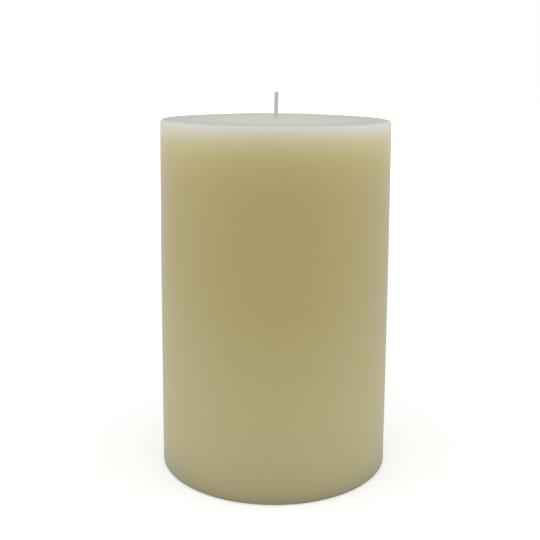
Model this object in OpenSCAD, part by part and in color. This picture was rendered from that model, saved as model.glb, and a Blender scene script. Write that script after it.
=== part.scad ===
// Pillar candle: a round column of ivory wax with one braided cotton wick.
// The origin is the centre of the base, +Z is up and the front faces -Y.
// Lengths are in millimetres and angles in degrees.

/* [Wax body] */
// Diameter at the base
body_d = 100; // [60:1:150]
// Height of the flat top above the base
body_h = 152; // [60:1:250]
// Draft of the side, which lets the cast wax leave its mould
side_draft = 0.2; // [0:0.05:1]
// Radius of the edge round the top
top_edge_r = 1.2; // [0.4:0.1:4]
// Radius of the edge round the base
base_edge_r = 0.8; // [0.3:0.1:3]
// Diameter of the low collar that the wax makes where it wets the wick
collar_d = 5; // [3.5:0.1:10]
// Height that the collar climbs up the wick
collar_h = 0.6; // [0.2:0.1:1.2]
// Hollow of the collar's slope, from 0 for a straight cone to 1 for a curve that ends level
collar_hollow = 0.6; // [0.2:0.1:0.8]

/* [Wick] */
// Diameter over the strands of the braid
wick_d = 1.6; // [1:0.05:3]
// Length of wick that stands out of the top
wick_out = 11.8; // [6:0.2:22]
// How far the tip leans towards +X
wick_lean = 0.2; // [0:0.05:2]
// Columns of stitches round the braid, with neighbours slanting opposite ways
braid_columns = 8; // [4:2:12]
// Length of one stitch along the braid
stitch_l = 0.9; // [0.7:0.05:2]
// Rise of a stitch across its column
stitch_slant = 0.45; // [0:0.05:0.8]
// Depth of the grooves between stitches
stitch_depth = 0.16; // [0.05:0.01:0.25]
// Length of braid that runs on down inside the collar, where wax fills its grooves
braid_in = 0.3; // [0.1:0.1:5]

/* [Wick sustainer] */
// Diameter of the disc
disc_d = 20; // [17:0.5:30]
// Thickness of the tinned sheet
sheet_t = 0.3; // [0.2:0.05:0.5]
// Diameter of the raised centre of the disc
centre_d = 12; // [8:0.5:15]
// Height of the raised centre above the rim
centre_rise = 0.6; // [0.3:0.1:1.2]
// Height of the neck above the raised centre
neck_h = 6; // [5:0.5:12]
// Radius of the bend between the disc and the neck
neck_root_r = 0.6; // [0.3:0.1:1]
// Height of the crimp's middle above the raised centre
crimp_up = 3.2; // [2.5:0.1:3.8]
// Length of the crimp
crimp_l = 1.2; // [0.6:0.1:1.6]

/* [Fits] */
// Gap between the wick and what holds it, at the wax and at the crimp
wick_fit = 0.05; // [0.02:0.01:0.1]
// Gap between the wick and the neck away from the crimp
neck_slack = 0.2; // [0.15:0.01:0.4]
// Gap between the sustainer and the wax that it seats on
seat_gap = 0.05; // [0.02:0.01:0.2]
// Gap round the disc in the recess of the base
recess_gap = 1; // [0.3:0.1:3]
// Height of the disc's rim above the surface that the candle stands on
foot_gap = 0.4; // [0.2:0.1:2]

/* [Hidden] */
$fn = 180;

// Sides that the mesh of the braid gives one column, and rings that it gives one stitch
column_sides = 4;
stitch_rings = 6;
// Depth to which shapes that are joined run into each other
weld = 0.5;

base_r = body_d / 2;
side_low = base_edge_r;
side_high = body_h - top_edge_r;
top_r = base_r - (side_high - side_low) * tan(side_draft);

wick_r = wick_d / 2;
bore_r = wick_r + wick_fit;
wick_top = body_h + wick_out;

// The collar's slope is an arc from the mouth of the bore to the flat of the top
collar_r = collar_d / 2;
collar_chord = norm([collar_r - bore_r, collar_h]);
collar_pitch = atan2(collar_h, collar_r - bore_r);
collar_half_arc = collar_pitch * collar_hollow;
collar_foot_slope = collar_pitch - collar_half_arc;
collar_curve_r = collar_chord / 2 / sin(collar_half_arc);
collar_curve_x = collar_r + collar_curve_r * sin(collar_foot_slope);
collar_curve_z = body_h + collar_curve_r * cos(collar_foot_slope);

disc_r = disc_d / 2;
centre_r = centre_d / 2;
centre_z = foot_gap + centre_rise;
seat_z = centre_z + sheet_t;
neck_in_r = wick_r + neck_slack;
neck_out_r = neck_in_r + sheet_t;
neck_top = seat_z + neck_h;
crimp_z = seat_z + crimp_up;
crimp_in = neck_slack - wick_fit;

recess_r = disc_r + recess_gap;
recess_top = seat_z + seat_gap;
pocket_r = neck_out_r + seat_gap;
pocket_top = neck_top + seat_gap;
pocket_cone_h = pocket_r - bore_r;

braid_start = body_h + collar_h - braid_in;
braid_l = wick_top - braid_start;
stitch_n = round(braid_l / stitch_l);
ring_n = stitch_n * stitch_rings;
side_n = braid_columns * column_sides;

// What rounding takes off an outer corner that points to +X and +Y, with the arc's centre at 0
module edge_waste(edge_r) {
    difference() {
        square(edge_r);
        circle(edge_r);
    }
}

// Half section of the wax from its bore to its side, with the recess and pocket in its base
module wax_section() {
    difference() {
        polygon([
            [recess_r, 0],
            [base_r, 0],
            [base_r, side_low],
            [top_r, side_high],
            [top_r, body_h],
            [bore_r, body_h],
            [bore_r, pocket_top + pocket_cone_h],
            [pocket_r, pocket_top],
            [pocket_r, recess_top + neck_root_r],
            [pocket_r + neck_root_r, recess_top],
            [recess_r, recess_top]
        ]);
        translate([top_r - top_edge_r, side_high]) edge_waste(top_edge_r);
        translate([base_r - base_edge_r, side_low]) mirror([0, 1]) edge_waste(base_edge_r);
    }
}

// Half section of the collar, which runs on below the top where the wax takes it in
module collar_section() {
    difference() {
        translate([bore_r, body_h - weld])
        square([collar_curve_x - bore_r, collar_h + 2 * weld]);
        translate([collar_curve_x, collar_curve_z]) circle(collar_curve_r);
    }
}

module wax_body() {
    color([0.74, 0.69, 0.52])
    rotate_extrude() union() {
        wax_section();
        collar_section();
    }
}

// Half section of the disc: a flat rim, a step and a flat raised centre in sheet of one thickness
module disc_section() {
    polygon([
        [neck_out_r + neck_root_r, centre_z],
        [centre_r, centre_z],
        [centre_r + centre_rise, foot_gap],
        [disc_r, foot_gap],
        [disc_r, foot_gap + sheet_t],
        [centre_r + centre_rise, foot_gap + sheet_t],
        [centre_r, seat_z],
        [neck_out_r + neck_root_r, seat_z]
    ]);
}

// Half section of the bend that turns the sheet up into the neck
module root_section() {
    bend_r = neck_root_r + sheet_t;
    translate([neck_out_r + neck_root_r, seat_z + neck_root_r])
    difference() {
        intersection() {
            circle(bend_r);
            translate([-bend_r, -bend_r]) square(bend_r);
        }
        circle(neck_root_r);
    }
}

// Half section of the neck, whose rolled crimp grips the wick
module neck_section() {
    crimp_low = crimp_z - crimp_l / 2;
    crimp_high = crimp_z + crimp_l / 2;
    polygon([
        [neck_in_r, seat_z + neck_root_r],
        [neck_out_r, seat_z + neck_root_r],
        [neck_out_r, crimp_low - crimp_in],
        [neck_out_r - crimp_in, crimp_low],
        [neck_out_r - crimp_in, crimp_high],
        [neck_out_r, crimp_high + crimp_in],
        [neck_out_r, neck_top],
        [neck_in_r, neck_top],
        [neck_in_r, crimp_high + crimp_in],
        [neck_in_r - crimp_in, crimp_high],
        [neck_in_r - crimp_in, crimp_low],
        [neck_in_r, crimp_low - crimp_in]
    ]);
}

module wick_sustainer() {
    color([0.74, 0.75, 0.77])
    rotate_extrude() union() {
        disc_section();
        root_section();
        neck_section();
    }
}

// Column of the braid that holds side k, and how far across that column it lies, from 0 to 1
function column_of(k) = floor(k / column_sides);
function across_column(k) = (k % column_sides) / column_sides;

// Round swell from 0 at both ends of its run to 1 in the middle
function swell(t) = sqrt(1 - (2 * t - 1) ^ 2);

// Height of the strand at ring j and side k, as a part of the depth of the grooves.
// Stitches of neighbouring columns lie half a stitch apart, as in a plait.
function strand_height(j, k) =
    let (turn = j / stitch_rings + (column_of(k) % 2) / 2)
    swell(turn - floor(turn)) * swell(across_column(k));

// Rise of side k, which makes the stitches of neighbouring columns slant towards each other
function strand_rise(k) =
    stitch_slant * (column_of(k) % 2 == 0 ? 1 : -1) * (across_column(k) - 0.5);

// The slant dies out over one stitch at each end of the braid, so that the cut tip is level
function end_ease(j) = min(1, j / stitch_rings, (ring_n - j) / stitch_rings);

// Sideways place of the wick's middle at height z, bowing from the top of the collar to the tip
function wick_bow(z) =
    let (t = max(0, (z - body_h - collar_h) / (wick_out - collar_h)))
    wick_lean * t ^ 2;

// Ring of plain wick at height z
function plain_ring(z) = [
    for (k = [0:side_n - 1])
    let (a = 360 * k / side_n)
    [wick_r * cos(a), wick_r * sin(a), z]
];

// Ring j of the braid
function braid_ring(j) = [
    for (k = [0:side_n - 1])
    let (
        a = 360 * k / side_n,
        z = braid_start + braid_l * j / ring_n + strand_rise(k) * end_ease(j),
        grooved = min(1, j / stitch_rings),
        r = wick_r - stitch_depth * grooved * (1 - strand_height(j, k))
    )
    [r * cos(a) + wick_bow(z), r * sin(a), z]
];

// The wick from the mouth of the sustainer to its cut tip, plain as far as the braid can't be seen
module wick() {
    rings = [
        plain_ring(centre_z),
        for (j = [0:ring_n]) braid_ring(j)
    ];
    last = len(rings) - 1;
    foot_middle = len(rings) * side_n;
    tip_middle = foot_middle + 1;
    points = [
        for (ring = rings) each ring,
        [0, 0, centre_z],
        [wick_bow(wick_top), 0, wick_top]
    ];
    walls = [
        for (j = [0:last - 1], k = [0:side_n - 1])
        let (
            next = (k + 1) % side_n,
            low = j * side_n,
            high = low + side_n
        )
        each [
            [low + k, high + k, high + next],
            [low + k, high + next, low + next]
        ]
    ];
    ends = [
        for (k = [0:side_n - 1])
        let (
            next = (k + 1) % side_n,
            high = last * side_n
        )
        each [
            [foot_middle, k, next],
            [tip_middle, high + next, high + k]
        ]
    ];
    color([0.76, 0.76, 0.71])
    polyhedron(points, concat(walls, ends));
}

wax_body();
wick();
wick_sustainer();
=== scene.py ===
import math

import bpy
import numpy as np
from mathutils import Matrix, Vector


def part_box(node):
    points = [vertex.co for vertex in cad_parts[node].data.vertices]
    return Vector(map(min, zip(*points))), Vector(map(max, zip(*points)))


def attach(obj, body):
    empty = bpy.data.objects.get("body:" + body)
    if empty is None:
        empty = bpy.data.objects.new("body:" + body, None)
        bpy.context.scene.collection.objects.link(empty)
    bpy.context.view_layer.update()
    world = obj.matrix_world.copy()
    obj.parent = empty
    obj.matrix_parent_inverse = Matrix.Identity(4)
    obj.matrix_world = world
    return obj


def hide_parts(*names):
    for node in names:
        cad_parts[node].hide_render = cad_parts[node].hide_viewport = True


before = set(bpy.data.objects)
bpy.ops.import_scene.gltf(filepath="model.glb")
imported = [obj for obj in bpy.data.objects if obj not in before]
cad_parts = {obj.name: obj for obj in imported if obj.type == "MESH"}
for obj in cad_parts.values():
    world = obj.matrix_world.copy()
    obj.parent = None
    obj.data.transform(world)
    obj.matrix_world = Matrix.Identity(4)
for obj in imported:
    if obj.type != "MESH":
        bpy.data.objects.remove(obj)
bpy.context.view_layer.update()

mm = 0.001
tiny = 0.01 * mm             # closer than this counts as the same height or radius

waxLow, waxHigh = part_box("wax_body")
wickLow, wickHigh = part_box("wick")
print("frame loaded: wax", round(waxHigh.z / mm, 2), "mm high, wick tip at", round(wickHigh.z / mm, 2), "mm")


# mesh helpers

def putMesh(name, points, quads):
    # points is an array of n by 3 and quads an array of m by 4, both written in one go
    mesh = bpy.data.meshes.new(name)
    mesh.vertices.add(len(points))
    mesh.vertices.foreach_set("co", np.asarray(points, np.float32).ravel())
    mesh.loops.add(quads.size)
    mesh.loops.foreach_set("vertex_index", quads.astype(np.int32).ravel())
    mesh.polygons.add(len(quads))
    mesh.polygons.foreach_set("loop_start", np.arange(0, quads.size, 4, dtype=np.int32))
    mesh.polygons.foreach_set("use_smooth", np.ones(len(quads), bool))
    mesh.update(calc_edges=True)
    mesh.validate()
    piece = bpy.data.objects.new(name, mesh)
    bpy.context.scene.collection.objects.link(piece)
    return piece


def gridQuads(rows, columns, closedRows):
    # rows run along the shape and columns round it; the columns always close on themselves
    i = np.arange(rows if closedRows else rows - 1)[:, None]
    j = np.arange(columns)[None, :]
    nextI = (i + 1) % rows
    nextJ = (j + 1) % columns
    corners = [i * columns + j, i * columns + nextJ, nextI * columns + nextJ, nextI * columns + j]
    return np.stack(corners, -1).reshape(-1, 4)


def arcPoints(middle, radius, fromDeg, toDeg, count):
    # points on a circle in the plane of radius and height, from one angle to the other
    a = np.radians(np.linspace(fromDeg, toDeg, count))
    return np.stack([middle[0] + radius * np.cos(a), middle[1] + radius * np.sin(a)], -1)


def linePoints(start, end, count):
    # evenly spaced points between two corners, with the first corner but without the last
    t = np.linspace(0, 1, count, endpoint=False)[:, None]
    return (1 - t) * np.array(start) + t * np.array(end)


def setStrand(piece, height):
    # how far each point stands out of the grooves of the braid, 0 to 1, for the cotton's colour, which is
    # darker in the grooves by painted shade
    attribute = piece.data.attributes.new("strand", "FLOAT", "POINT")
    attribute.data.foreach_set("value", height.astype(np.float32).ravel())


# material helpers

def newMaterial(name):
    material = bpy.data.materials.new(name)
    material.use_nodes = True
    tree = material.node_tree
    return material, tree, tree.nodes["Principled BSDF"]


def addNode(tree, kind, inputs=None, **settings):
    # a node with its settings made, and each input linked to a socket or set to a value
    node = tree.nodes.new(kind)
    for key, value in settings.items():
        setattr(node, key, value)
    for key, value in (inputs or {}).items():
        if isinstance(value, bpy.types.NodeSocket):
            tree.links.new(value, node.inputs[key])
        else:
            node.inputs[key].default_value = value
    return node


def mathNode(tree, operation, *values, clamp=False):
    inputs = dict(enumerate(values))
    return addNode(tree, "ShaderNodeMath", inputs, operation=operation, use_clamp=clamp).outputs[0]


def mapRange(tree, value, fromRange, toRange):
    # value carried in a straight line from one range to another, and held at its ends
    return addNode(tree, "ShaderNodeMapRange", {
        "Value": value, "From Min": fromRange[0], "From Max": fromRange[1],
        "To Min": toRange[0], "To Max": toRange[1]}).outputs[0]


def mixColours(tree, share, first, second):
    node = addNode(tree, "ShaderNodeMix", {0: share, 6: first, 7: second}, data_type="RGBA")
    return node.outputs[2]


def noiseAt(tree, place, scale, detail=2.0, roughness=0.5):
    node = addNode(tree, "ShaderNodeTexNoise", {"Vector": place, "Scale": scale, "Detail": detail,
                                                "Roughness": roughness})
    return node.outputs["Fac"]


def vary(tree, noise, amount, base, clamp=False):
    # base, plus amount times the distance of the noise from its middle
    return mathNode(tree, "MULTIPLY_ADD", mathNode(tree, "SUBTRACT", noise, 0.5), amount, base, clamp=clamp)


def fillRamp(ramp, stops):
    # stops is a list of (place, colour); the ramp's own two stops are used first
    elements = ramp.color_ramp.elements
    while len(elements) < len(stops):
        elements.new(0.5)
    for element, (place, colour) in zip(elements, stops):
        element.position = place
        element.color = (*colour, 1)


def addBump(tree, shader, height, strength, distance):
    bump = addNode(tree, "ShaderNodeBump", {"Height": height, "Strength": strength, "Distance": distance})
    tree.links.new(bump.outputs[0], shader.inputs["Normal"])


def linear(red, green, blue):
    # a colour as a screen shows it, 0 to 255, made linear
    c = np.array([red, green, blue]) / 255
    return np.where(c > 0.04045, ((c + 0.055) / 1.055) ** 2.4, c / 12.92)


# camera, at the photographed viewing angle

view = dict(
    place=(2.1 * mm, -367.55 * mm, 173.27 * mm),
    downDeg=9.808,             # below level
    rollDeg=0.465,
    lens=56.71,
    sensor=36,                 # its width, in the lens's own measure
    shift=(-0.0185, -0.1),
    clip=(0.01, 50),
)


def makeCamera(v):
    camera = bpy.data.cameras.new("camera")
    camera.lens = v["lens"]
    camera.sensor_width = v["sensor"]
    camera.shift_x, camera.shift_y = v["shift"]
    camera.clip_start, camera.clip_end = v["clip"]
    holder = bpy.data.objects.new("camera", camera)
    tilt = Matrix.Rotation(math.radians(90 - v["downDeg"]), 4, "X")
    roll = Matrix.Rotation(math.radians(v["rollDeg"]), 4, "Z")
    holder.matrix_world = Matrix.Translation(v["place"]) @ tilt @ roll
    bpy.context.scene.collection.objects.link(holder)
    bpy.context.scene.camera = holder


makeCamera(view)
print("camera placed")


# wax column: one closed surface, from the mouth of the wick's hole round by the side and base, and back

pillar = dict(
    draftDeg=0.2,
    topEdge=1.2 * mm,
    baseEdge=0.8 * mm,
    collarRadius=2.5 * mm,
    collarHeight=0.6 * mm,
    collarHollow=0.6,          # 0 for a straight slope, 1 for one that ends level
    holeRadius=0.825 * mm,     # closes on the braid, as wax does
    holeBelow=0.85 * mm,       # deeper down
    recessRadius=11 * mm,
    recessTop=1.35 * mm,
    pocketRadius=1.35 * mm,
    pocketTop=7.35 * mm,
    pocketMouth=0.6 * mm,
    inset=0.01 * mm,           # keeps the belly within the base's width
    belly=0.19 * mm,           # how far the side stands out at mid height, as in the photograph
    sway=0.05 * mm,            # how far the cast side wanders inwards
    swayEase=6 * mm,           # dies out over this height at both rims
    wave=dict(turns=(1, 2, 3, 5, 7), climb=(10, 45), start=(0, 6.28), seed=4),   # climb per metre up
    dish=0.22 * mm,            # how far the top sinks between its rim and the collar
    dishUneven=0.2,            # half the share of it that the shallow side loses
    dishTurn=0.6,              # where it is deepest, in radians round from +X
    turns=300,
    rows=dict(collar=12, top=70, rim=12, side=110, foot=9, base=24,
              recess=4, ceiling=8, mouth=2, pocket=3, hole=6),
)


def pillarProfile(p):
    # radius and height pairs round the half section, with the outer corners and the collar as arcs
    n = p["rows"]
    low = p["baseEdge"]
    top = waxHigh.z - p["collarHeight"]
    high = top - p["topEdge"]
    baseRadius = min(waxHigh.x, waxHigh.y, -waxLow.x, -waxLow.y) - p["inset"]
    topRadius = baseRadius - (high - low) * math.tan(math.radians(p["draftDeg"]))
    # the collar's slope is an arc through its two ends, bent by its hollow
    wide = p["collarRadius"] - p["holeRadius"]
    pitch = math.degrees(math.atan2(p["collarHeight"], wide))
    half = pitch * p["collarHollow"]
    bend = math.hypot(wide, p["collarHeight"]) / 2 / math.sin(math.radians(half))
    foot = math.radians(pitch - half)
    middle = (p["collarRadius"] + bend * math.sin(foot), top + bend * math.cos(foot))
    # corners of the hidden hollows, from the recess in to the hole
    recessFoot = (p["recessRadius"], 0)
    recessRoof = (p["recessRadius"], p["recessTop"])
    mouthWide = (p["pocketRadius"] + p["pocketMouth"], p["recessTop"])
    mouthNarrow = (p["pocketRadius"], p["recessTop"] + p["pocketMouth"])
    pocketRoof = (p["pocketRadius"], p["pocketTop"])
    holeFoot = (p["holeBelow"], p["pocketTop"] + p["pocketMouth"])
    holeMouth = (p["holeRadius"], top)
    parts = [
        arcPoints(middle, bend, 270 - (pitch + half), 270 - (pitch - half), n["collar"]),
        linePoints((p["collarRadius"], top), (topRadius - p["topEdge"], top), n["top"])[1:],
        arcPoints((topRadius - p["topEdge"], high), p["topEdge"], 90, 0, n["rim"]),
        linePoints((topRadius, high), (baseRadius, low), n["side"])[1:],
        arcPoints((baseRadius - p["baseEdge"], low), p["baseEdge"], 0, -90, n["foot"]),
        linePoints((baseRadius - p["baseEdge"], 0), recessFoot, n["base"])[1:],
        linePoints(recessFoot, recessRoof, n["recess"]),
        linePoints(recessRoof, mouthWide, n["ceiling"]),
        linePoints(mouthWide, mouthNarrow, n["mouth"]),
        linePoints(mouthNarrow, pocketRoof, n["pocket"]),
        linePoints(pocketRoof, holeFoot, n["mouth"]),
        linePoints(holeFoot, holeMouth, n["hole"]),
        [holeMouth],
    ]
    return np.concatenate(parts), top, topRadius


def slowWave(angle, height, w):
    # sum of a few slow waves round and up the side, scaled to lie between 0 and 1
    pick = np.random.default_rng(w["seed"])
    total = np.zeros(np.broadcast(angle, height).shape)
    weight = 0
    for turns in w["turns"]:
        strength = 1 / turns
        climb = pick.uniform(*w["climb"])
        total = total + strength * np.sin(turns * angle + climb * height + pick.uniform(*w["start"]))
        weight += strength
    return 0.5 + 0.5 * total / weight


def makePillar(p):
    # the half section turned round the axis, with a belly, a wandering side and a shallow bowl in the top
    profile, top, topRadius = pillarProfile(p)
    rim = topRadius - p["topEdge"]
    radius = profile[:, :1]
    height = profile[:, 1:]
    angle = np.linspace(0, 2 * np.pi, p["turns"], endpoint=False)[None, :]
    # the side stands out by a low arch and wanders inwards by a slow wave, both gone at the rims
    side = (radius > topRadius - tiny) & (height < top)
    arch = 4 * (height / top) * (1 - height / top)
    ease = np.clip(height / p["swayEase"], 0, 1) * np.clip((top - height) / p["swayEase"], 0, 1)
    r = radius + side * (p["belly"] * arch - p["sway"] * ease * slowWave(angle, height, p["wave"]))
    # the top sinks as a shallow bowl: nothing at the rim and at the collar, most half way between
    share = np.clip((radius - p["collarRadius"]) / (rim - p["collarRadius"]), 0, 1)
    uneven = 1 - p["dishUneven"] + p["dishUneven"] * np.cos(angle - p["dishTurn"])
    bowl = p["dish"] * np.sin(np.pi * share) ** 2 * uneven
    z = height - bowl * (height > top - tiny)
    points = np.stack([r * np.cos(angle), r * np.sin(angle), z + 0 * angle], -1).reshape(-1, 3)
    quads = gridQuads(len(profile), p["turns"], True)
    return putMesh("waxPillar", points, quads), top, rim


waxPiece, topFace, rimRadius = makePillar(pillar)
print("wax column made:", len(waxPiece.data.polygons), "faces")


# wick: a braid of slanting stitches, each a full strand between grooves, on a bowed middle line

wick = dict(
    radius=0.82 * mm,
    lean=0.21 * mm,
    columns=8,
    stitch=0.9 * mm,
    slant=0.45 * mm,
    groove=0.15 * mm,
    plyDepth=0.014 * mm,       # fine lines of the twisted yarn
    plyTurns=5,
    plySlant=1.5,
    around=96,
    perStitch=26,
    short=0.17 * mm,           # left for the fibres at the cut
    inWax=0.3 * mm,            # braid that runs on below the collar's tip
    plainBelow=0.6 * mm,       # from there down to the first ring of the plain length
    plainAt=(50 * mm, 100 * mm),
    plainLess=0.02 * mm,       # by which the plain length is thinner
    cutRings=(0.9, 0.72, 0.5, 0.28, 0.1),
    cutRough=(-0.06, 0.03),    # rise and fall of the cut, in mm
    cutStrand=0.6,             # the painted shade at the cut, between groove and thread
    seed=9,
)
closed = 0.001                 # share of the radius at which a ring is closed


def wickBow(z, foot, tip, lean):
    # the middle line leans with the square of the height above the collar
    t = np.clip((z - foot) / (tip - foot), 0, 1)
    return lean * t ** 2


def strandSwell(t):
    # height of a strand across its width, 0 at both grooves and 1 along its back: a full, flattened round
    return np.sqrt(np.clip(1 - np.abs(2 * t - 1) ** 3, 0, 1))


def makeWick(w):
    # radius = wick radius, less the groove where strands meet and less the fine lines of the yarn;
    # each stitch rises to one side, the odd columns the other way and half a stitch further up
    foot = waxHigh.z
    tip = wickHigh.z - w["short"]
    start = foot - w["inWax"]
    stitches = round((tip - start) / w["stitch"])
    rows = stitches * w["perStitch"] + 1
    j = np.arange(rows)[:, None]
    k = np.arange(w["around"])[None, :]
    angle = 2 * np.pi * k / w["around"]
    column = np.floor(k * w["columns"] / w["around"])
    across = k * w["columns"] / w["around"] - column
    turn = j / w["perStitch"] + (column % 2) / 2
    along = turn - np.floor(turn)
    swell = strandSwell(along) * strandSwell(across)
    ease = np.minimum(1, np.minimum(j, rows - 1 - j) / w["perStitch"])
    side = np.where(column % 2 == 0, 1, -1)
    z = start + (tip - start) * j / (rows - 1) + w["slant"] * side * (across - 0.5) * ease
    ply = 0.5 + 0.5 * np.cos(2 * np.pi * (w["plyTurns"] * along + w["plySlant"] * across * side))
    grooved = np.minimum(1, j / w["perStitch"])
    r = w["radius"] - grooved * (w["groove"] * (1 - swell) + w["plyDepth"] * (1 - ply) * swell)
    x = r * np.cos(angle) + wickBow(z, foot, tip, w["lean"])
    y = r * np.sin(angle)
    braid = np.stack([x, y, z], -1)
    # the plain length down in the wax, closed at its lower end
    plain = np.array([wickLow.z, wickLow.z, *w["plainAt"], start - w["plainBelow"]])
    heights = plain[:, None] + 0 * angle
    thin = np.full(plain.shape, w["radius"] - w["plainLess"])
    thin[0] *= closed
    lower = np.stack([thin[:, None] * np.cos(angle), thin[:, None] * np.sin(angle), heights], -1)
    # the cut end: rings that close on its middle, a little rough
    steps = np.array([*w["cutRings"], closed])[:, None]
    centre = np.array([w["lean"], 0, tip])
    cut = centre + (braid[-1][None] - centre) * steps[:, :, None]
    pick = np.random.default_rng(w["seed"])
    cut[:-1, :, 2] += pick.uniform(*w["cutRough"], cut[:-1, :, 2].shape) * mm
    points = np.concatenate([lower, braid, cut])
    piece = putMesh("wickBraid", points.reshape(-1, 3), gridQuads(len(points), w["around"], False))
    onBraid = swell * grooved + 1 - grooved
    onCut = np.full(cut.shape[:2], w["cutStrand"])
    setStrand(piece, np.concatenate([np.ones(lower.shape[:2]), onBraid, onCut]))
    return piece, tip


wickPiece, wickTip = makeWick(wick)
print("wick made:", len(wickPiece.data.polygons), "faces")


# fibres: the ends of the yarn in the cut, and loose ones along the braid

fibres = dict(
    atCut=70,
    onSide=150,
    thick=0.026 * mm,
    thinning=0.5,              # share of the thickness that is lost towards the tip
    endShare=0.02,             # share of it at which both ends are closed
    longest=0.34 * mm,
    shortest=0.35,             # share of the longest
    cutRoot=0.9,               # how far out they stand, as a share of the wick's radius
    sideRoot=0.97,
    cutReach=(0, 0.45),        # how far out they bend, as a share of their length
    sideReach=(0.15, 0.6),
    swing=1,                   # how far they bend to one side, in radians
    sunk=0.1 * mm,             # below the cut
    ends=0.5 * mm,             # of the braid that stay bare of loose ones
    clear=0.02 * mm,           # below the top of the solid wick
    sides=6,
    rings=6,
    seed=21,
)


def makeFibres(f, w):
    # every fibre is a thin tapered tube on a path root + rise * t upwards + reach * t squared outwards
    pick = np.random.default_rng(f["seed"])
    foot = waxHigh.z
    n = f["atCut"] + f["onSide"]
    cut = np.arange(n) < f["atCut"]
    turn = pick.uniform(0, 2 * np.pi, n)
    size = pick.uniform(f["shortest"], 1, n) * f["longest"]
    height = np.where(cut, wickTip - f["sunk"], pick.uniform(foot + f["ends"], wickTip - f["ends"], n))
    out = np.where(cut, f["cutRoot"] * np.sqrt(pick.uniform(0, 1, n)), f["sideRoot"]) * w["radius"]
    rise = np.where(cut, np.minimum(size, wickHigh.z - f["clear"] - wickTip + f["sunk"]), size)
    reach = size * np.where(cut, pick.uniform(*f["cutReach"], n), pick.uniform(*f["sideReach"], n))
    swing = turn + pick.uniform(-f["swing"], f["swing"], n)
    t = np.linspace(0, 1, f["rings"])
    ring = np.linspace(0, 2 * np.pi, f["sides"], endpoint=False)
    mx = (wickBow(height, foot, wickTip, w["lean"]) + out * np.cos(turn))[:, None]
    mx = mx + (reach * np.cos(swing))[:, None] * t ** 2
    my = (out * np.sin(turn))[:, None] + (reach * np.sin(swing))[:, None] * t ** 2
    mz = height[:, None] + rise[:, None] * t
    r = f["thick"] / 2 * np.where((t > 0) & (t < 1), 1 - f["thinning"] * t, f["endShare"])
    x = mx[:, :, None] + r[None, :, None] * np.cos(ring)
    y = my[:, :, None] + r[None, :, None] * np.sin(ring)
    z = mz[:, :, None] + 0 * ring
    points = np.stack([x, y, z], -1)
    each = gridQuads(f["rings"], f["sides"], False)
    quads = (each[None] + (np.arange(n) * f["rings"] * f["sides"])[:, None, None]).reshape(-1, 4)
    piece = putMesh("wickFibres", points.reshape(-1, 3), quads)
    setStrand(piece, np.ones(len(piece.data.vertices)))
    return piece


fibrePiece = makeFibres(fibres, wick)
print("fibres made:", fibres["atCut"] + fibres["onSide"])


# wax: deep ivory; paler towards the rim by painted light, which stands in for the light that entered at the
# top and comes out again there

wax = dict(
    upper=linear(175, 160, 106),      # below the glow
    lower=linear(184, 173, 123),      # towards the foot, paler by painted light from the floor below
    turnsAt=(52 * mm, 124 * mm),      # depths between which one goes over into the other
    glow=(0.28, 0.36, 0.52),          # painted light added at the rim
    reach=(10.4 * mm, 8.6 * mm, 5.7 * mm),   # depth at which about a third of it is left
    reachBend=1.2,                    # above 1 it stays longer and then falls faster
    footShade=(0.38, 0.36, 0.26),     # painted shade: share that the very foot loses
    footReach=7.2 * mm,
    footShadeLine=0.8,                     # more painted shade where the edge rounds under, a painted contact shadow
    footShadeLineReach=0.4 * mm,
    under=linear(186, 176, 132),      # the underside and the hollows in it
    underBlend=0.2 * mm,              # half the width over which it begins
    underTop=9 * mm,                  # above the pocket's roof
    topMiddle=linear(223, 215, 184),  # the top face, at the wick, half way out and just inside its rim; darker towards the rim by painted shade
    topHalf=linear(216, 210, 181),
    topRing=linear(208, 199, 172),
    topPlaces=(0.0, 0.25, 0.6, 0.93), # shares of the way out, the first two both for the middle
    rimBlend=(-0.5 * mm, 0.6 * mm),   # from the rim, where the top's colour goes over into the side's
    rimDepth=2 * mm,                  # nothing lower than this belongs to the top face
    roughness=0.52,
    topRoughness=0.6,                 # the top is poured, not moulded
    gloss=0.35,
    ior=1.44,
    bloom=0.25,                       # pale cool film that wax grows
    bloomTint=(0.45, 0.6, 0.9, 1.0),
    bloomSpread=0.6,
    scatter=0.25,
    scatterScale=5 * mm,
    scatterRadius=(1.0, 0.75, 0.4),
    cloud=dict(scale=28, depth=0.006, onTop=8),   # slow drift of the colour along the height
    mottle=dict(scale=90, tone=0.05, rough=0.16, bump=1.5),
    grain=dict(scale=900, tone=0.03),
    bump=0.12,
    bumpDepth=0.05 * mm,
)
# depths below the top face at which the side's colour is worked out, closer where it changes fast
stopDepths = np.array([0, 1, 2, 3.2, 4.5, 6, 8, 10.5, 14, 19, 26, 38, 52, 68, 85, 102, 118, 130,
                       136, 140, 143, 145.5, 147.5, 149, 150.2, 151, 151.4, 151.7, 152]) * mm


def waxStops(p, height):
    # the ivory at each depth: upper going over to lower, which is paler by painted light from the floor, by
    # a smooth step, plus the painted glow times exp(-(depth / reach) ** reachBend), all less the painted
    # shade that fades with the height above the foot
    stops = []
    for depth in stopDepths:
        above = height - depth
        t = np.clip((depth - p["turnsAt"][0]) / (p["turnsAt"][1] - p["turnsAt"][0]), 0, 1)
        t = t * t * (3 - 2 * t)
        colour = (1 - t) * p["upper"] + t * p["lower"]
        colour = colour + np.array(p["glow"]) * np.exp(-(depth / np.array(p["reach"])) ** p["reachBend"])
        colour = colour * (1 - np.array(p["footShade"]) * np.exp(-above / p["footReach"]))
        colour = colour * (1 - p["footShadeLine"] * np.exp(-above / p["footShadeLineReach"]))
        stops.append((min(1, depth / height), np.clip(colour, 0, 1)))
    return stops


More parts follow.
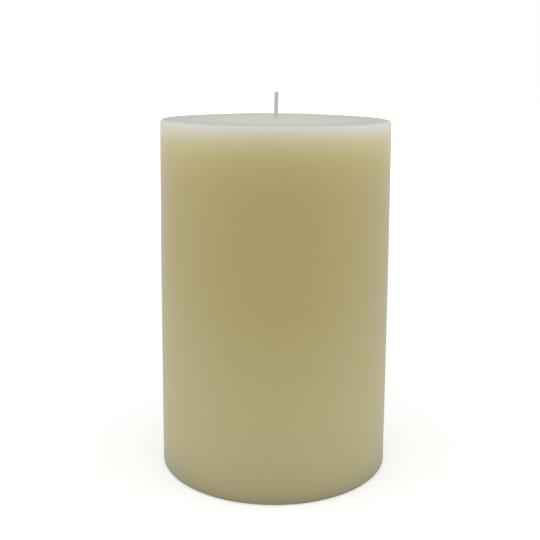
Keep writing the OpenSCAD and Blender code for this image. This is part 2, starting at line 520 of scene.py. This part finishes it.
def makeWaxMaterial(p, height, rim, footRim):
    material, tree, shader = newMaterial("ivoryWax")
    place = addNode(tree, "ShaderNodeTexCoord").outputs["Object"]
    axes = addNode(tree, "ShaderNodeSeparateXYZ", {0: place}).outputs
    # the side goes by its depth below the top face, and wanders a little
    depth = mathNode(tree, "DIVIDE", mathNode(tree, "SUBTRACT", height, axes["Z"]), height, clamp=True)
    cloud = noiseAt(tree, place, p["cloud"]["scale"], 3)
    wander = mathNode(tree, "MULTIPLY", mathNode(tree, "SUBTRACT", cloud, 0.5), p["cloud"]["depth"])
    side = addNode(tree, "ShaderNodeValToRGB", {0: mathNode(tree, "ADD", depth, wander, clamp=True)})
    fillRamp(side, waxStops(p, height))
    # the top face goes by the distance from the wick instead, up to where the rim rounds over
    flat = addNode(tree, "ShaderNodeVectorMath", {0: place, 1: (1, 1, 0)}, operation="MULTIPLY").outputs[0]
    out = addNode(tree, "ShaderNodeVectorMath", {0: flat}, operation="LENGTH").outputs["Value"]
    share = mathNode(tree, "DIVIDE", out, rim, clamp=True)
    drift = mathNode(tree, "MULTIPLY", wander, p["cloud"]["onTop"])
    top = addNode(tree, "ShaderNodeValToRGB", {0: mathNode(tree, "ADD", share, drift)})
    tones = (p["topMiddle"], p["topMiddle"], p["topHalf"], p["topRing"])
    fillRamp(top, list(zip(p["topPlaces"], tones)))
    inside = mapRange(tree, out, (rim + p["rimBlend"][0], rim + p["rimBlend"][1]), (1, 0))
    high = mathNode(tree, "GREATER_THAN", axes["Z"], height - p["rimDepth"])
    onTop = mathNode(tree, "MULTIPLY", inside, high)
    ivory = mixColours(tree, onTop, side.outputs[0], top.outputs[0])
    # the underside is even in colour, in from where the base edge has rounded under
    within = mapRange(tree, out, (footRim - p["underBlend"], footRim + p["underBlend"]), (1, 0))
    below = mathNode(tree, "MULTIPLY", within, mathNode(tree, "LESS_THAN", axes["Z"], p["underTop"]))
    ivory = mixColours(tree, below, ivory, (*p["under"], 1))
    mottle = noiseAt(tree, place, p["mottle"]["scale"], 4, 0.6)
    grain = noiseAt(tree, place, p["grain"]["scale"], 2)
    lift = vary(tree, mottle, p["mottle"]["tone"], 1.0)
    lift = vary(tree, grain, p["grain"]["tone"], lift)
    colour = addNode(tree, "ShaderNodeVectorMath", {0: ivory, "Scale": lift}, operation="SCALE")
    tree.links.new(colour.outputs[0], shader.inputs["Base Color"])
    dull = mapRange(tree, onTop, (0, 1), (p["roughness"], p["topRoughness"]))
    tree.links.new(vary(tree, mottle, p["mottle"]["rough"], dull, clamp=True), shader.inputs["Roughness"])
    fine = mathNode(tree, "ADD", grain, mathNode(tree, "MULTIPLY", mottle, p["mottle"]["bump"]))
    addBump(tree, shader, fine, p["bump"], p["bumpDepth"])
    shader.inputs["Subsurface Weight"].default_value = p["scatter"]
    shader.inputs["Subsurface Scale"].default_value = p["scatterScale"]
    shader.inputs["Subsurface Radius"].default_value = p["scatterRadius"]
    shader.inputs["IOR"].default_value = p["ior"]
    shader.inputs["Specular IOR Level"].default_value = p["gloss"]
    shader.inputs["Sheen Weight"].default_value = p["bloom"]
    shader.inputs["Sheen Roughness"].default_value = p["bloomSpread"]
    shader.inputs["Sheen Tint"].default_value = p["bloomTint"]
    return material


waxPiece.data.materials.append(makeWaxMaterial(wax, topFace, rimRadius, waxHigh.x - pillar["baseEdge"]))


# waxed cotton

cotton = dict(
    thread=linear(215, 219, 210),
    # painted shade: the darker colour in the grooves between the strands
    groove=linear(162, 164, 152),
    roughness=0.62,
    fibre=dict(scale=9000, tone=0.22),
    soak=dict(scale=420, tone=0.12, rough=0.3),   # where the wax has soaked in more or less
    bump=0.5,
    bumpDepth=0.02 * mm,
)


def makeCottonMaterial(c):
    material, tree, shader = newMaterial("waxedCotton")
    place = addNode(tree, "ShaderNodeTexCoord").outputs["Object"]
    fibre = noiseAt(tree, place, c["fibre"]["scale"], 4, 0.65)
    soak = noiseAt(tree, place, c["soak"]["scale"], 3)
    strand = addNode(tree, "ShaderNodeAttribute", attribute_name="strand").outputs["Fac"]
    # darker where the strand lies low in the grooves: painted shade
    colour = mixColours(tree, strand, (*c["groove"], 1), (*c["thread"], 1))
    lift = vary(tree, fibre, c["fibre"]["tone"], 1.0)
    lift = vary(tree, soak, c["soak"]["tone"], lift)
    scaled = addNode(tree, "ShaderNodeVectorMath", {0: colour, "Scale": lift}, operation="SCALE")
    tree.links.new(scaled.outputs[0], shader.inputs["Base Color"])
    tree.links.new(vary(tree, soak, c["soak"]["rough"], c["roughness"]), shader.inputs["Roughness"])
    addBump(tree, shader, fibre, c["bump"], c["bumpDepth"])
    return material


waxedCotton = makeCottonMaterial(cotton)
wickPiece.data.materials.append(waxedCotton)
fibrePiece.data.materials.append(waxedCotton)


# tinned sheet of the sustainer, whose solid shows as it is

tin = dict(
    colour=linear(198, 200, 203),
    roughness=0.3,
    spangle=dict(scale=700, tone=0.08),
    scuff=dict(scale=1500, rough=0.25),
    bump=0.1,
    bumpDepth=0.02 * mm,
)


def makeTinMaterial(t):
    material, tree, shader = newMaterial("tinnedSheet")
    place = addNode(tree, "ShaderNodeTexCoord").outputs["Object"]
    cells = addNode(tree, "ShaderNodeTexVoronoi", {"Vector": place, "Scale": t["spangle"]["scale"]})
    tone = addNode(tree, "ShaderNodeSeparateColor", {0: cells.outputs["Color"]}).outputs[0]
    scuff = noiseAt(tree, place, t["scuff"]["scale"], 3)
    lift = vary(tree, tone, t["spangle"]["tone"], 1.0)
    base = addNode(tree, "ShaderNodeVectorMath", {0: t["colour"], "Scale": lift}, operation="SCALE")
    tree.links.new(base.outputs[0], shader.inputs["Base Color"])
    tree.links.new(vary(tree, scuff, t["scuff"]["rough"], t["roughness"]), shader.inputs["Roughness"])
    addBump(tree, shader, scuff, t["bump"], t["bumpDepth"])
    shader.inputs["Metallic"].default_value = 1.0
    return material


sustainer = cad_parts["wick_sustainer"]
tinnedSheet = makeTinMaterial(tin)
for materialSlot in sustainer.material_slots:
    materialSlot.material = tinnedSheet
print("materials made")


# pieces onto the frame

for piece, node, slotName in ((waxPiece, "wax_body", "wax"), (wickPiece, "wick", "cotton"),
                              (fibrePiece, "wick", "cotton")):
    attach(piece, "root")
    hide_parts(node)


# studio: a white tent round a pale floor, with two soft lamps at the candle's sides

studio = dict(
    floorSize=6.0,
    floorColour=(0.8, 0.8, 0.8),
    floorRoughness=0.8,
    floorDrop=0.2 * mm,        # below the base, so that the two don't share a plane
    floorLift=0.42,            # added to the floor near the candle, as the camera and reflections see it
    liftGrows=(0.2, 1.2),      # distances between which that goes over to full white
    around=1.19,               # light from the walls of the tent
    front=0.85,                # share of it left at the open front
    frontFades=(-0.95, -0.25), # parts of the way from back to front between which it falls to that
    back=0.45,                 # and at the wall behind
    backFades=(0.0, 0.9),
    roof=0.6,                  # share of it left straight above
    roofFades=(0.2, 1.0),
    lamps=dict(size=0.5, away=1.0, turnDeg=75, liftDeg=10, power=1.3),
)


def seenRays(tree):
    # 1 for what the camera, a reflection or clear glass sees, 0 for the light that falls on things
    rays = addNode(tree, "ShaderNodeLightPath").outputs
    seen = mathNode(tree, "ADD", rays["Is Camera Ray"], rays["Is Glossy Ray"])
    return mathNode(tree, "ADD", seen, rays["Is Transmission Ray"], clamp=True)


def makeFloor(s):
    half = s["floorSize"] / 2
    corners = np.array([(-half, -half, 0), (half, -half, 0), (half, half, 0), (-half, half, 0)])
    floor = putMesh("floor", corners + (0, 0, -s["floorDrop"]), np.array([[0, 1, 2, 3]]))
    material, tree, shader = newMaterial("paleFloor")
    shader.inputs["Base Color"].default_value = (*s["floorColour"], 1)
    shader.inputs["Roughness"].default_value = s["floorRoughness"]
    place = addNode(tree, "ShaderNodeTexCoord").outputs["Object"]
    away = addNode(tree, "ShaderNodeVectorMath", {0: place}, operation="LENGTH").outputs["Value"]
    white = mapRange(tree, away, s["liftGrows"], (s["floorLift"], 1))
    strength = mathNode(tree, "MULTIPLY", white, seenRays(tree))
    glow = addNode(tree, "ShaderNodeEmission", {"Color": (1, 1, 1, 1), "Strength": strength})
    both = addNode(tree, "ShaderNodeAddShader", {0: shader.outputs[0], 1: glow.outputs[0]})
    tree.links.new(both.outputs[0], tree.nodes["Material Output"].inputs["Surface"])
    floor.data.materials.append(material)


def makeWorld(s):
    # white wherever it is seen; the light from it is dimmer above, behind and at the open front
    world = bpy.data.worlds.new("tent")
    world.use_nodes = True
    bpy.context.scene.world = world
    tree = world.node_tree
    towards = addNode(tree, "ShaderNodeTexCoord").outputs["Generated"]
    axes = addNode(tree, "ShaderNodeSeparateXYZ", {0: towards}).outputs
    opening = mapRange(tree, axes["Y"], s["frontFades"], (s["front"], 1))
    behind = mapRange(tree, axes["Y"], s["backFades"], (1, s["back"]))
    climb = mapRange(tree, axes["Z"], s["roofFades"], (1, s["roof"]))
    light = mathNode(tree, "MULTIPLY", mathNode(tree, "MULTIPLY", opening, behind), climb)
    light = mathNode(tree, "MULTIPLY", light, s["around"])
    level = addNode(tree, "ShaderNodeMix", {0: seenRays(tree), 2: light, 3: 1.0}).outputs[0]
    background = tree.nodes["Background"]
    background.inputs["Color"].default_value = (1, 1, 1, 1)
    tree.links.new(level, background.inputs["Strength"])


def makeLamps(o):
    # one on each side, both turned to the middle of the candle
    aim = Vector((0, 0, waxHigh.z / 2))
    turn = math.radians(o["turnDeg"])
    lift = math.radians(o["liftDeg"])
    for side in (-1, 1):
        lamp = bpy.data.lights.new("sideLamp", "AREA")
        lamp.shape = "SQUARE"
        lamp.size = o["size"]
        lamp.energy = o["power"]
        holder = bpy.data.objects.new("sideLamp", lamp)
        level = math.cos(lift)
        way = Vector((side * math.sin(turn) * level, -math.cos(turn) * level, math.sin(lift)))
        holder.location = aim + o["away"] * way
        holder.rotation_euler = way.to_track_quat("Z", "Y").to_euler()
        bpy.context.scene.collection.objects.link(holder)


makeFloor(studio)
makeWorld(studio)
makeLamps(studio["lamps"])
bpy.context.scene.view_settings.view_transform = "Standard"
print("studio made")
